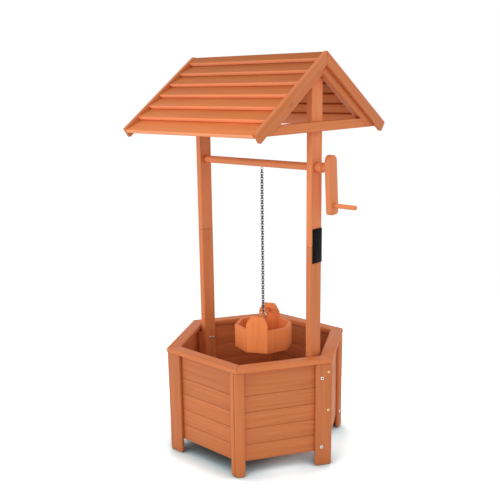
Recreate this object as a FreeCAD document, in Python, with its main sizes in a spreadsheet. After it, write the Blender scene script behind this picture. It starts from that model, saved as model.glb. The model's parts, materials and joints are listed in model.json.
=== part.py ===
# Wishing well planter of stained softwood, in millimetres, +Z up.
# The origin is on the ground at the centre of the six sided base.
# X runs along the windlass axle with the crank at +X, and Y runs to the back.
import FreeCAD, Part
import Sketcher
import math
import os

doc = FreeCAD.newDocument("wishing_well_planter")
sheet = doc.addObject("Spreadsheet::Sheet", "sizes")

# Driving sizes: every one can be changed by itself.
SIZES = (
    # six sided base
    ("base_apothem", 238.2),
    ("leg_thickness", 10.0),
    ("leg_width", 27.0),
    ("covered_leg_width", 21.5),
    ("wide_leg_width", 49.5),
    ("wall_board_thickness", 9.0),
    ("wall_underside", 44.0),
    ("lowest_seam", 93.0),
    ("wall_board_height", 48.5),
    ("seam_count", 4.0),
    ("seam_kerf", 0.4),
    ("seam_bevel", 2.0),
    ("rim_underside", 311.0),
    ("rim_thickness", 14.0),
    ("rim_width", 37.0),
    ("rim_overhang", 5.1),
    ("rim_rounding", 4.0),
    ("mitre_gap", 0.3),
    # slatted floor
    ("cleat_width", 18.0),
    ("cleat_height", 12.0),
    ("slat_width", 40.0),
    ("slat_pitch", 50.0),
    ("slat_count", 5.0),
    ("slat_thickness", 10.0),
    ("end_clearance", 0.3),
    # two posts, each in a lower and an upper length
    ("post_outer_x", 221.0),
    ("post_thickness", 18.0),
    ("post_width", 45.0),
    ("post_bottom", 46.0),
    ("post_joint", 638.0),
    ("post_below_apex", 52.0),
    ("post_rounding", 1.5),
    ("block_below_rim", 11.0),
    ("plate_thickness", 2.0),
    ("plate_width", 40.0),
    ("plate_height", 96.0),
    # roof
    ("apex_height", 1152.0),
    ("roof_pitch", 35.3),
    ("bargeboard_length", 337.0),
    ("bargeboard_width", 29.0),
    ("bargeboard_thickness", 12.0),
    ("bargeboard_rise", 19.0),
    ("rafter_thickness", 19.0),
    ("rafter_width", 28.0),
    ("tie_below_apex", 204.0),
    ("tie_height", 25.0),
    ("ridge_board", 16.0),
    ("roof_board_pitch", 50.3),
    ("middle_board_count", 5.0),
    ("eave_board", 58.5),
    ("roof_board_lap", 10.0),
    ("roof_board_thin_edge", 4.0),
    ("roof_board_thick_edge", 11.0),
    ("roof_gap", 0.2),
    # windlass
    ("axle_below_apex", 299.0),
    ("axle_diameter", 21.0),
    ("axle_clearance", 0.05),
    ("axle_overrun", 4.0),
    ("collar_diameter", 27.0),
    ("collar_width", 22.0),
    ("running_gap", 0.3),
    ("hub_diameter", 22.0),
    ("hub_length", 16.5),
    ("tenon_length", 11.0),
    ("arm_thickness", 15.0),
    ("arm_width", 35.0),
    ("arm_rise", 35.0),
    ("arm_drop", 125.0),
    ("arm_top_flat", 0.5),
    ("arm_corner", 10.0),
    ("arm_lean", 4.0),
    ("grip_diameter", 12.0),
    ("grip_drop", 100.0),
    ("grip_reach", 70.0),
    ("grip_socket", 10.0),
    ("grip_bevel", 1.2),
    # chain
    ("chain_offset", 24.0),
    ("chain_link_count", 57.0),
    ("chain_wire", 1.9),
    ("chain_link_width", 7.0),
    ("chain_play", 0.3),
    ("link_corner", 2.0),
    ("link_hole_corner", 0.8),
    ("link_seat_slack", 0.25),
    ("eye_radius", 4.5),
    ("eye_wire", 2.4),
    ("eye_shank", 2.5),
    ("eye_depth", 7.0),
    ("ring_radius", 9.9),
    ("ring_wire", 2.4),
    ("ring_seat_gap", 0.2),
    ("ring_twist", -12.0),
    # bucket
    ("bucket_turn", 27.7),
    ("bucket_radius", 86.0),
    ("bucket_underside", 308.0),
    ("bucket_height", 69.0),
    ("stave_thickness", 10.0),
    ("bucket_floor_inset", 6.0),
    ("bucket_floor_thickness", 8.0),
    ("ear_rise", 41.0),
    ("ear_shoulder", 15.0),
    ("ear_top_width", 36.0),
    ("ear_rounding", 9.0),
    ("handle_drop", 20.0),
    ("handle_diameter", 12.0),
    ("handle_socket", 6.0),
    # fixings
    ("bolt_diameter", 10.0),
    ("bolt_height", 2.0),
    ("bolt_from_corner", 25.5),
    ("bolt_below_rim", 43.0),
    ("bolt_above_edge", 14.0),
    ("leg_bolt_above_edge", 11.0),
    ("post_bolt_below_rim", 30.0),
    ("post_bolt_inset", 1.0),
    ("post_bolt_offset", 12.0),
    ("post_bolt_step", 3.0),
    ("leg_bolt_from_corner", 18.0),
    ("screw_diameter", 7.5),
    ("screw_height", 1.2),
    ("screw_from_corner", 5.5),
    ("screw_below_rim", 27.0),
    ("screw_spacing", 114.0),
    ("plate_screw_diameter", 7.0),
    ("plate_screw_inset", 11.5),
    ("plate_screw_inner", 23.0),
    ("plate_screw_outer", 38.0),
)

for row, (alias, number) in enumerate(SIZES, start=1):
    sheet.set("A%d" % row, alias)
    sheet.set("B%d" % row, str(number))
    sheet.setAlias("B%d" % row, alias)
doc.recompute()


class Size:
    """A length with its value and the expression that gives it in the document."""

    def __init__(self, value, text):
        self.value = float(value)
        self.text = text

    def __add__(self, other):
        other = as_size(other)
        return Size(self.value + other.value, "(%s + %s)" % (self.text, other.text))

    def __radd__(self, other):
        return as_size(other) + self

    def __sub__(self, other):
        other = as_size(other)
        return Size(self.value - other.value, "(%s - %s)" % (self.text, other.text))

    def __rsub__(self, other):
        return as_size(other) - self

    def __mul__(self, other):
        other = as_size(other)
        return Size(self.value * other.value, "(%s * %s)" % (self.text, other.text))

    def __rmul__(self, other):
        return as_size(other) * self

    def __truediv__(self, other):
        other = as_size(other)
        return Size(self.value / other.value, "(%s / %s)" % (self.text, other.text))

    def __neg__(self):
        return Size(-self.value, "(0 - %s)" % self.text)


def as_size(number):
    if isinstance(number, Size):
        return number
    return Size(number, "%.9f" % number)


def trig(function, angle):
    """Sine, cosine or tangent of an angle in degrees."""
    value = getattr(math, function)(math.radians(angle.value))
    return Size(value, "%s(%s * 1 deg)" % (function, angle.text))


def cell(alias):
    return Size(sheet.get(alias), "sizes." + alias)


# Geometry helpers

def origin_plane(body, role):
    for feature in body.Origin.OriginFeatures:
        if feature.Role == role:
            return feature
    raise RuntimeError("no plane " + role)


def new_body(label, several=False):
    body = doc.addObject("PartDesign::Body", label)
    body.Label = label
    if several:
        body.AllowCompound = True
    return body


def bind(item, path, size):
    item.setExpression(path, as_size(size).text)


def draw_outline(sketch, outline):
    """Close a polygon and tie each of its corners to the sheet."""
    corners = [(as_size(a), as_size(b)) for a, b in outline]
    first = sketch.GeometryCount
    for index, (a, b) in enumerate(corners):
        c, d = corners[(index + 1) % len(corners)]
        start = FreeCAD.Vector(a.value, b.value, 0)
        end = FreeCAD.Vector(c.value, d.value, 0)
        sketch.addGeometry(Part.LineSegment(start, end), False)
    for index in range(len(corners)):
        here = first + index
        after = first + (index + 1) % len(corners)
        sketch.addConstraint(Sketcher.Constraint("Coincident", here, 2, after, 1))
    for index, (a, b) in enumerate(corners):
        for kind, size in (("DistanceX", a), ("DistanceY", b)):
            rule = Sketcher.Constraint(kind, -1, 1, first + index, 1, size.value)
            number = sketch.addConstraint(rule)
            bind(sketch, "Constraints[%d]" % number, size)


def draw_circle(sketch, across, up, radius):
    across = as_size(across)
    up = as_size(up)
    radius = as_size(radius)
    centre = FreeCAD.Vector(across.value, up.value, 0)
    normal = FreeCAD.Vector(0, 0, 1)
    item = sketch.addGeometry(Part.Circle(centre, normal, radius.value), False)
    rules = (
        (Sketcher.Constraint("DistanceX", -1, 1, item, 3, across.value), across),
        (Sketcher.Constraint("DistanceY", -1, 1, item, 3, up.value), up),
        (Sketcher.Constraint("Radius", item, radius.value), radius),
    )
    for rule, size in rules:
        number = sketch.addConstraint(rule)
        bind(sketch, "Constraints[%d]" % number, size)


def new_sketch(body, role, offset=0.0):
    sketch = body.newObject("Sketcher::SketchObject", body.Name + "_sketch")
    sketch.AttachmentSupport = [(origin_plane(body, role), "")]
    sketch.MapMode = "FlatFace"
    offset = as_size(offset)
    sketch.AttachmentOffset.Base.z = offset.value
    bind(sketch, "AttachmentOffset.Base.z", offset)
    return sketch


def pad(body, sketch, length, symmetric=False):
    feature = body.newObject("PartDesign::Pad", body.Name + "_pad")
    feature.Profile = sketch
    feature.Length = as_size(length).value
    bind(feature, "Length", length)
    if symmetric:
        feature.SideType = "Symmetric"
    return feature


def pocket_through(body, sketch):
    feature = body.newObject("PartDesign::Pocket", body.Name + "_cut")
    feature.Profile = sketch
    feature.SideType = "Symmetric"
    feature.Type = "ThroughAll"
    return feature


def pattern(body, feature, role, length, occurrences, reverse=False):
    item = body.newObject("PartDesign::LinearPattern", body.Name + "_row")
    item.Originals = [feature]
    item.Direction = (origin_plane(body, role), [""])
    item.Reversed = reverse
    item.Length = as_size(length).value
    bind(item, "Length", length)
    item.Occurrences = int(occurrences.value)
    bind(item, "Occurrences", occurrences)
    body.Tip = item
    return item


def place(item, x=0.0, y=0.0, z=0.0, axis=(0, 0, 1), angle=0.0):
    x = as_size(x)
    y = as_size(y)
    z = as_size(z)
    angle = as_size(angle)
    base = FreeCAD.Vector(x.value, y.value, z.value)
    turn = FreeCAD.Rotation(FreeCAD.Vector(*axis), angle.value)
    item.Placement = FreeCAD.Placement(base, turn)
    bind(item, "Placement.Base.x", x)
    bind(item, "Placement.Base.y", y)
    bind(item, "Placement.Base.z", z)
    if "sizes." in angle.text:
        bind(item, "Placement.Rotation.Angle", angle)


def prism(label, role, outline, start, length, circles=()):
    """A straight piece: an outline on one plane, padded from start."""
    body = new_body(label)
    sketch = new_sketch(body, role, start)
    draw_outline(sketch, outline)
    for across, up, radius in circles:
        draw_circle(sketch, across, up, radius)
    pad(body, sketch, length)
    return body


def round_edges(body, radius, wanted, kind="Fillet"):
    """Round or bevel the edges of the tip that the test picks."""
    doc.recompute()
    base = body.Tip
    names = []
    for index, edge in enumerate(base.Shape.Edges, start=1):
        if wanted(edge):
            names.append("Edge%d" % index)
    if not names:
        raise RuntimeError("no edge found on " + body.Label)
    feature = body.newObject("PartDesign::" + kind, body.Name + "_ease")
    feature.Base = (base, names)
    path = "Radius" if kind == "Fillet" else "Size"
    setattr(feature, path, as_size(radius).value)
    bind(feature, path, radius)
    return feature


def runs_along(edge, axis, length=1.0):
    """True for a straight edge along one axis that is longer than a size."""
    if not isinstance(edge.Curve, Part.Line):
        return False
    ends = edge.Vertexes
    step = ends[1].Point - ends[0].Point
    return abs(step[axis]) > length and step.Length < abs(step[axis]) * 1.0001


parts = []
ROOT_3 = math.sqrt(3.0)
TAN_EIGHTH = math.tan(math.radians(22.5))
COS_EIGHTH = math.cos(math.radians(22.5))
# chamfer, as a share of the wire, that makes its section eight sided
WIRE_CHAMFER = 0.29
# loops of fewer sides still look round at the size of a screw head
HEAD_SIDES = 12
# how far a cut runs past the solid, and the least volume it must take away
CUT_OVERRUN = 1.0
LEAST_CUT = 1.0
# lift of a lapped board, as a share of the taper of the one below
LAP_EASE = 1.5
# longest edge left as it is on a post and on an ear
POST_SHORT_EDGE = 100.0
EAR_SHORT_EDGE = 5.0

apothem = cell("base_apothem")
leg_t = cell("leg_thickness")
board_t = cell("wall_board_thickness")
leg_inner = apothem - leg_t
wall_inner = leg_inner - board_t
mitre = cell("mitre_gap")
rim_z = cell("rim_underside")
underside = cell("wall_underside")

# Six walls. Seen from outside, a leg that covers its corner runs past the
# neighbour's leg, and a leg that is covered is cut to lie against it.
WALLS = (
    ("wall_front", 0, "wide", "covered"),
    ("wall_front_right", 60, "cover", "wide"),
    ("wall_back_right", 120, "covered", "covered"),
    ("wall_back", 180, "wide", "covered"),
    ("wall_back_left", 240, "cover", "wide"),
    ("wall_front_left", 300, "covered", "covered"),
)


def leg_outline(kind, side):
    """Plan of a leg at the right end (side 1) or left end (side -1)."""
    if kind == "covered":
        width = cell("covered_leg_width")
        far_outer = (apothem / 2 - leg_t) * (2 / ROOT_3)
        far_inner = leg_inner / ROOT_3
        near = far_inner - width
        corners = [(near, -apothem), (far_outer, -apothem)]
        corners += [(far_inner, -leg_inner), (near, -leg_inner)]
    else:
        width = cell("wide_leg_width") if kind == "wide" else cell("leg_width")
        far = (apothem + leg_t) / ROOT_3
        corners = [(far - width, -apothem), (far, -apothem)]
        corners += [(far, -leg_inner), (far - width, -leg_inner)]
    if side < 0:
        corners = [(-a, b) for a, b in reversed(corners)]
    return corners


def wall_boards(label):
    """One wall of five boards, parted and bevelled at each seam."""
    body = new_body(label, several=True)
    sketch = new_sketch(body, "XY_Plane", underside)
    outer = leg_inner / ROOT_3 - mitre / 2
    inner = wall_inner / ROOT_3 - mitre / 2
    draw_outline(sketch, [
        (-outer, -leg_inner), (outer, -leg_inner), (inner, -wall_inner), (-inner, -wall_inner),
    ])
    pad(body, sketch, rim_z - underside)
    doc.recompute()
    cut = new_sketch(body, "YZ_Plane")
    seam = cell("lowest_seam")
    half = cell("seam_kerf") / 2
    bevel = cell("seam_bevel")
    face = -leg_inner
    draw_outline(cut, [
        (face, seam - half - bevel), (face + bevel, seam - half), (1 - wall_inner, seam - half),
        (1 - wall_inner, seam + half), (face + bevel, seam + half), (face, seam + half + bevel),
        (face - 1, seam + half + bevel), (face - 1, seam - half - bevel),
    ])
    groove = pocket_through(body, cut)
    doc.recompute()
    count = cell("seam_count")
    pattern(body, groove, "Z_Axis", cell("wall_board_height") * (count - 1), count)
    return body


rim_outer = apothem + cell("rim_overhang")
rim_inner = rim_outer - cell("rim_width")


def rim_board(label):
    a = rim_outer / ROOT_3 - mitre / 2
    b = rim_inner / ROOT_3 - mitre / 2
    outline = [(-a, -rim_outer), (a, -rim_outer), (b, -rim_inner), (-b, -rim_inner)]
    body = prism(label, "XY_Plane", outline, rim_z, cell("rim_thickness"))
    top = (rim_z + cell("rim_thickness")).value

    def long_edge(edge):
        if not runs_along(edge, 0):
            return False
        where = edge.Vertexes[0].Point
        on_top = abs(where.z - top) < 0.01
        outside = abs(where.y + rim_outer.value) < 0.01
        return on_top or outside

    round_edges(body, cell("rim_rounding"), long_edge)
    return body


for label, turn, left, right in WALLS:
    pieces = [
        wall_boards(label + "_boards"),
        prism(label + "_leg_left", "XY_Plane", leg_outline(left, -1), 0.0, rim_z),
        prism(label + "_leg_right", "XY_Plane", leg_outline(right, 1), 0.0, rim_z),
        rim_board(label.replace("wall", "rim")),
    ]
    for piece in pieces:
        place(piece, angle=turn)
        parts.append(piece)

# Slatted floor on two cleats, one along the front and one along the back wall.
cleat_z = underside
slat_z = cleat_z + cell("cleat_height")
slats = new_body("floor_slats", several=True)
slat_sketch = new_sketch(slats, "XY_Plane", slat_z)
slat_count = cell("slat_count")
slat_first = -(cell("slat_pitch") * (slat_count - 1)) / 2 - cell("slat_width") / 2
slat_end = wall_inner - cell("end_clearance")
draw_outline(slat_sketch, [
    (slat_first, -slat_end), (slat_first + cell("slat_width"), -slat_end),
    (slat_first + cell("slat_width"), slat_end), (slat_first, slat_end),
])
slat_pad = pad(slats, slat_sketch, cell("slat_thickness"))
doc.recompute()
pattern(slats, slat_pad, "X_Axis", cell("slat_pitch") * (slat_count - 1), slat_count)
parts.append(slats)

cleat_half = wall_inner / ROOT_3 - cell("cleat_width") / ROOT_3
cleats = new_body("floor_cleats", several=True)
for way in (-1, 1):
    cleat_sketch = new_sketch(cleats, "XY_Plane", cleat_z)
    draw_outline(cleat_sketch, [
        (-cleat_half, wall_inner * way), (cleat_half, wall_inner * way),
        (cleat_half, (wall_inner - cell("cleat_width")) * way),
        (-cleat_half, (wall_inner - cell("cleat_width")) * way),
    ])
    pad(cleats, cleat_sketch, cell("cleat_height"))
    doc.recompute()
parts.append(cleats)

# Posts, with a wedge block behind each in the corner of the base.
post_x = cell("post_outer_x")
post_t = cell("post_thickness")
post_half = cell("post_width") / 2
joint_z = cell("post_joint")
axle_z = cell("apex_height") - cell("axle_below_apex")
axle_r = cell("axle_diameter") / 2
bore_r = axle_r + cell("axle_clearance")


def post_edges(edge):
    return runs_along(edge, 2, POST_SHORT_EDGE)


for side, name in ((1, "right"), (-1, "left")):
    start = post_x - post_t if side > 0 else -post_x
    post_top = cell("apex_height") - cell("post_below_apex")
    spans = (
        ("post_lower_" + name, cell("post_bottom"), joint_z, ()),
        ("post_upper_" + name, joint_z, post_top, ((0.0, axle_z, bore_r),)),
    )
    for label, low, high, holes in spans:
        outline = [(-post_half, low), (post_half, low), (post_half, high), (-post_half, high)]
        post = prism(label, "YZ_Plane", outline, start, post_t, holes)
        round_edges(post, cell("post_rounding"), post_edges)
        parts.append(post)
    corner = wall_inner * (2 / ROOT_3)
    shoulder = (wall_inner - post_half / 2) * (2 / ROOT_3)
    outline = [
        (post_x, -post_half), (shoulder, -post_half), (corner, 0.0),
        (shoulder, post_half), (post_x, post_half),
    ]
    block = prism("post_block_" + name, "XY_Plane", outline, cell("post_bottom"),
                  rim_z - cell("block_below_rim") - cell("post_bottom"))
    place(block, angle=0 if side > 0 else 180)
    parts.append(block)

# Flat steel plates that join the two lengths of each post.
plates = new_body("joining_plates", several=True)
plate_back = post_half
plate_front = post_half - cell("plate_width")
plate_rise = cell("plate_height") / 2
for start in (post_x, -post_x - cell("plate_thickness")):
    plate_sketch = new_sketch(plates, "YZ_Plane", start)
    draw_outline(plate_sketch, [
        (plate_front, joint_z - plate_rise), (plate_back, joint_z - plate_rise),
        (plate_back, joint_z + plate_rise), (plate_front, joint_z + plate_rise),
    ])
    pad(plates, plate_sketch, cell("plate_thickness"))
    doc.recompute()
parts.append(plates)

# Roof frame at each gable: two rafters, a tie beam and two bargeboards.
pitch = cell("roof_pitch")
cosine = trig("cos", pitch)
sine = trig("sin", pitch)
tangent = trig("tan", pitch)
apex = cell("apex_height")
rafter_top = apex - cell("bargeboard_rise") / cosine
rafter_drop = cell("rafter_width") / cosine
tie_z = apex - cell("tie_below_apex")
tie_top = tie_z + cell("tie_height")
gap = cell("roof_gap")
frame_x = post_x + cell("rafter_thickness")
gable_x = frame_x + cell("bargeboard_thickness")


def mirrored(outline, side):
    if side > 0:
        return outline
    return [(-as_size(a), b) for a, b in reversed(outline)]


rafter_outline = [
    (gap / 2, rafter_top - gap / 2 * tangent),
    (gap / 2, rafter_top - gap / 2 * tangent - rafter_drop),
    ((rafter_top - rafter_drop - tie_z) / tangent, tie_z),
    ((rafter_top - tie_z) / tangent, tie_z),
]
tie_low = (rafter_top - rafter_drop - tie_z) / tangent - gap
tie_high = (rafter_top - rafter_drop - tie_top) / tangent - gap
tie_outline = [(-tie_low, tie_z), (tie_low, tie_z), (tie_high, tie_top), (-tie_high, tie_top)]
barge_w = cell("bargeboard_width")
barge_l = cell("bargeboard_length")
barge_outline = [
    (gap / 2, apex - gap / 2 * tangent),
    (gap / 2, apex - gap / 2 * tangent - barge_w / cosine),
    (barge_l * cosine - barge_w * sine, apex - barge_l * sine - barge_w * cosine),
    (barge_l * cosine, apex - barge_l * sine),
]
for name, near, far in (("right", 1, 0), ("left", -1, 0)):
    start = post_x if near > 0 else -frame_x
    parts.append(prism("tie_beam_" + name, "YZ_Plane", tie_outline, start, cell("rafter_thickness")))
    for way, where in ((-1, "front"), (1, "back")):
        start = post_x if near > 0 else -frame_x
        parts.append(prism("rafter_%s_%s" % (name, where), "YZ_Plane",
                           mirrored(rafter_outline, way), start, cell("rafter_thickness")))
        start = frame_x if near > 0 else -gable_x
        parts.append(prism("bargeboard_%s_%s" % (name, where), "YZ_Plane",
                           mirrored(barge_outline, way), start, cell("bargeboard_thickness")))

# Seven lapped boards on each slope, thin at the top edge and thick below.
thin = cell("roof_board_thin_edge")
thick = cell("roof_board_thick_edge")
lap = cell("roof_board_lap")
step = cell("roof_board_pitch")
board_length = (frame_x - gap) * 2


def on_slope(down, above):
    """Point at a distance down the slope and above the rafters."""
    down = as_size(down)
    above = as_size(above)
    return (down * cosine + above * sine, rafter_top - down * sine + above * cosine)


def lapped_profile(top, bottom, slip, ridge=False):
    """Section of a board whose lower edge rests on the next board down."""
    lift = thin + slip
    if ridge:
        middle = rafter_top - gap / 2 * tangent
        upper_low = (gap / 2, middle + lift / cosine)
        upper_high = (gap / 2, middle + (lift + thick) / cosine)
    else:
        upper_low = on_slope(top, 0.0)
        upper_high = on_slope(top, thin)
    return [upper_low, on_slope(bottom, lift), on_slope(bottom, lift + thick), upper_high]


def roof_boards(label, way):
    body = new_body(label, several=True)
    slip = (thick - thin) * (lap / step) * LAP_EASE + gap
    edge = cell("ridge_board")
    profiles = [lapped_profile(0.0, edge, slip, ridge=True)]
    profiles.append(lapped_profile(edge - lap, edge + step, slip))
    sketch = new_sketch(body, "YZ_Plane", -board_length / 2)
    draw_outline(sketch, mirrored(profiles[0], way))
    pad(body, sketch, board_length)
    doc.recompute()
    sketch = new_sketch(body, "YZ_Plane", -board_length / 2)
    draw_outline(sketch, mirrored(profiles[1], way))
    middle = pad(body, sketch, board_length)
    doc.recompute()
    count = cell("middle_board_count")
    slope = new_sketch(body, "YZ_Plane")
    start = on_slope(0.0, 0.0)
    end = on_slope(step, 0.0)
    line = Part.LineSegment(
        FreeCAD.Vector(way * start[0].value, start[1].value, 0),
        FreeCAD.Vector(way * end[0].value, end[1].value, 0))
    slope.addGeometry(line, False)
    for point, (a, b) in ((1, start), (2, end)):
        a = a * way
        for kind, size in (("DistanceX", a), ("DistanceY", b)):
            number = slope.addConstraint(Sketcher.Constraint(kind, -1, 1, 0, point, size.value))
            bind(slope, "Constraints[%d]" % number, size)
    doc.recompute()
    row = body.newObject("PartDesign::LinearPattern", body.Name + "_row")
    row.Originals = [middle]
    row.Direction = (slope, ["Edge1"])
    row.Length = (step * (count - 1)).value
    bind(row, "Length", step * (count - 1))
    row.Occurrences = int(count.value)
    bind(row, "Occurrences", count)
    body.Tip = row
    doc.recompute()
    last = edge + step * count
    sketch = new_sketch(body, "YZ_Plane", -board_length / 2)
    draw_outline(sketch, mirrored(lapped_profile(last - lap, last + cell("eave_board"), slip), way))
    pad(body, sketch, board_length)
    return body


parts.append(roof_boards("roof_boards_front", -1))
parts.append(roof_boards("roof_boards_back", 1))

# Windlass: stepped axle, collar, crank arm, grip and screw eye.
running = cell("running_gap")
collar_x = post_x + running
collar_end = collar_x + cell("collar_width")
arm_x = collar_end + cell("hub_length")
hub_r = cell("hub_diameter") / 2
axle_start = -post_x - cell("axle_overrun")
tenon_end = arm_x + cell("tenon_length")
eye_wire = cell("eye_wire")
eye_r = cell("eye_radius")
chain_x = cell("chain_offset")

axle = new_body("axle")
profile = new_sketch(axle, "XZ_Plane")
draw_outline(profile, [
    (axle_start, 0.0), (tenon_end, 0.0), (tenon_end, axle_r), (arm_x, axle_r),
    (arm_x, hub_r), (collar_end, hub_r), (collar_end, axle_r), (axle_start, axle_r),
])
turned = axle.newObject("PartDesign::Revolution", "axle_turned")
turned.Profile = profile
turned.ReferenceAxis = (profile, ["H_Axis"])
turned.Angle = 360.0
doc.recompute()
solid = turned.Shape.Volume
pilot = new_sketch(axle, "XY_Plane")
draw_circle(pilot, chain_x, 0.0, cell("eye_shank") / 2)
hole = axle.newObject("PartDesign::Pocket", "axle_pilot")
hole.Profile = pilot
hole.Length = axle_r.value
bind(hole, "Length", axle_r)
doc.recompute()
if hole.Shape.Volume > solid - LEAST_CUT:
    raise RuntimeError("the pilot hole cuts nothing")
place(axle, z=axle_z)
parts.append(axle)

collar = new_body("axle_collar")
ring_sketch = new_sketch(collar, "YZ_Plane", collar_x)
draw_circle(ring_sketch, 0.0, 0.0, cell("collar_diameter") / 2)
draw_circle(ring_sketch, 0.0, 0.0, axle_r)
pad(collar, ring_sketch, cell("collar_width"))
place(collar, z=axle_z)
parts.append(collar)

arm = new_body("crank_arm")
arm_half = cell("arm_width") / 2
arm_sketch = new_sketch(arm, "YZ_Plane", arm_x)
draw_outline(arm_sketch, [
    (-arm_half, -cell("arm_drop")), (arm_half, -cell("arm_drop")),
    (arm_half, cell("arm_rise")), (-arm_half, cell("arm_rise")),
])
pad(arm, arm_sketch, cell("arm_thickness"))
doc.recompute()
solid = arm.Tip.Shape.Volume
for up, radius, depth, side in (
        (0.0, axle_r, cell("tenon_length"), arm_x),
        (-cell("grip_drop"), cell("grip_diameter") / 2, cell("grip_socket"), None)):
    if side is None:
        side = arm_x + cell("arm_thickness")
    socket = new_sketch(arm, "YZ_Plane", side)
    draw_circle(socket, 0.0, up, radius)
    cut = arm.newObject("PartDesign::Pocket", "crank_arm_socket")
    cut.Profile = socket
    cut.Length = depth.value
    bind(cut, "Length", depth)
    cut.Reversed = side is arm_x
    doc.recompute()
    if cut.Shape.Volume > solid - LEAST_CUT:
        raise RuntimeError("a socket of the arm cuts nothing")
    solid = cut.Shape.Volume
round_edges(arm, arm_half - cell("arm_top_flat"),
            lambda edge: runs_along(edge, 0) and edge.Vertexes[0].Point.z > 0)
round_edges(arm, cell("arm_corner"),
            lambda edge: runs_along(edge, 0) and edge.Vertexes[0].Point.z < -cell("arm_drop").value + 0.01)
place(arm, z=axle_z, axis=(1, 0, 0), angle=cell("arm_lean"))
parts.append(arm)

grip = new_body("crank_grip")
grip_x = arm_x + cell("arm_thickness") - cell("grip_socket")
grip_sketch = new_sketch(grip, "YZ_Plane", grip_x)
draw_circle(grip_sketch, 0.0, -cell("grip_drop"), cell("grip_diameter") / 2)
pad(grip, grip_sketch, cell("grip_socket") + cell("grip_reach"))
grip_end = (grip_x + cell("grip_socket") + cell("grip_reach")).value
round_edges(grip, cell("grip_bevel"), lambda edge: abs(edge.BoundBox.XMin - grip_end) < 0.01
            and abs(edge.BoundBox.XMax - grip_end) < 0.01, "Chamfer")
place(grip, z=axle_z, axis=(1, 0, 0), angle=cell("arm_lean"))
parts.append(grip)

eye_drop = axle_r + eye_r + eye_wire / 2
turn = cell("bucket_turn")


def wire_ring(label, radius, wire, sides, up):
    """A closed ring of wire in the XZ plane, eight sided in section."""
    body = new_body(label)
    sketch = new_sketch(body, "XZ_Plane")
    flat = math.cos(math.pi / sides)
    for reach in (radius + wire / 2, radius - wire / 2):
        corners = []
        for index in range(sides):
            angle = 2 * math.pi * (index + 0.5) / sides
            corners.append((reach * (math.sin(angle) / flat), reach * (math.cos(angle) / flat) + up))
        draw_outline(sketch, corners)
    pad(body, sketch, wire, symmetric=True)
    round_edges(body, wire * WIRE_CHAMFER, lambda edge: not runs_along(edge, 1), "Chamfer")
    doc.recompute()
    return body


eye = wire_ring("screw_eye", eye_r, eye_wire, 12, -eye_drop)
shank_sketch = new_sketch(eye, "XY_Plane", -(axle_r + eye_wire / 2))
draw_circle(shank_sketch, 0.0, 0.0, cell("eye_shank") / 2)
pad(eye, shank_sketch, cell("eye_depth") + eye_wire / 2)
place(eye, x=chain_x, z=axle_z, angle=turn)
parts.append(eye)

# Bucket: eight staves, two of them taller as ears for the handle dowel.
bucket_apothem = cell("bucket_radius") * COS_EIGHTH
stave_inner = bucket_apothem - cell("stave_thickness")
bucket_z = cell("bucket_underside")
bucket_top = bucket_z + cell("bucket_height")
ear_top = bucket_top + cell("ear_rise")
handle_z = ear_top - cell("handle_drop")
handle_r = cell("handle_diameter") / 2
stave_a = bucket_apothem * TAN_EIGHTH - mitre / 2
stave_b = stave_inner * TAN_EIGHTH - mitre / 2


def stave_corners(turned_by):
    """Plan of one stave turned about the middle of the bucket."""
    c = math.cos(math.radians(turned_by))
    s = math.sin(math.radians(turned_by))
    corners = [(-stave_a, -bucket_apothem), (stave_a, -bucket_apothem),
               (stave_b, -stave_inner), (-stave_b, -stave_inner)]
    return [(a * c - b * s, a * s + b * c) for a, b in corners]


staves = new_body("bucket_staves", several=True)
for quarter in (45, 90, 135, 225, 270, 315):
    stave_sketch = new_sketch(staves, "XY_Plane", bucket_z)
    draw_outline(stave_sketch, stave_corners(quarter))
    pad(staves, stave_sketch, cell("bucket_height"))
    doc.recompute()
place(staves, x=chain_x, angle=turn)
parts.append(staves)

for label, extra in (("bucket_ear_front", 0), ("bucket_ear_back", 180)):
    ear = prism(label, "XY_Plane", stave_corners(0), bucket_z, ear_top - bucket_z)
    doc.recompute()
    solid = ear.Tip.Shape.Volume
    clip = new_sketch(ear, "XZ_Plane")
    shoulder = bucket_top + cell("ear_shoulder")
    half_top = cell("ear_top_width") / 2
    for side in (1, -1):
        beyond = stave_a + CUT_OVERRUN
        above = ear_top + CUT_OVERRUN
        corners = [(stave_a, shoulder), (beyond, shoulder), (beyond, above),
                   (half_top, above), (half_top, ear_top)]
        draw_outline(clip, mirrored(corners, side))
    pocket_through(ear, clip)
    doc.recompute()
    if ear.Tip.Shape.Volume > solid - LEAST_CUT:
        raise RuntimeError("the shoulders of an ear are not clipped")
    solid = ear.Tip.Shape.Volume

    def ear_corner(edge):
        return runs_along(edge, 1, EAR_SHORT_EDGE) and edge.Vertexes[0].Point.z > bucket_top.value

    round_edges(ear, cell("ear_rounding"), ear_corner)
    doc.recompute()
    solid = ear.Tip.Shape.Volume
    socket = new_sketch(ear, "XZ_Plane", bucket_apothem - cell("stave_thickness"))
    draw_circle(socket, 0.0, handle_z, handle_r)
    cut = ear.newObject("PartDesign::Pocket", label + "_socket")
    cut.Profile = socket
    cut.Reversed = True
    cut.Length = cell("handle_socket").value
    bind(cut, "Length", cell("handle_socket"))
    doc.recompute()
    if cut.Shape.Volume > solid - LEAST_CUT:
        raise RuntimeError("the socket of an ear cuts nothing")
    place(ear, x=chain_x, angle=turn + extra)
    parts.append(ear)

floor = new_body("bucket_floor")
floor_sketch = new_sketch(floor, "XY_Plane", bucket_z + cell("bucket_floor_inset"))
reach = (stave_inner - cell("end_clearance")) / COS_EIGHTH
draw_outline(floor_sketch, [
    (reach * math.cos(math.radians(22.5 + 45 * k)), reach * math.sin(math.radians(22.5 + 45 * k)))
    for k in range(8)])
pad(floor, floor_sketch, cell("bucket_floor_thickness"))
place(floor, x=chain_x, angle=turn)
parts.append(floor)

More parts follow.
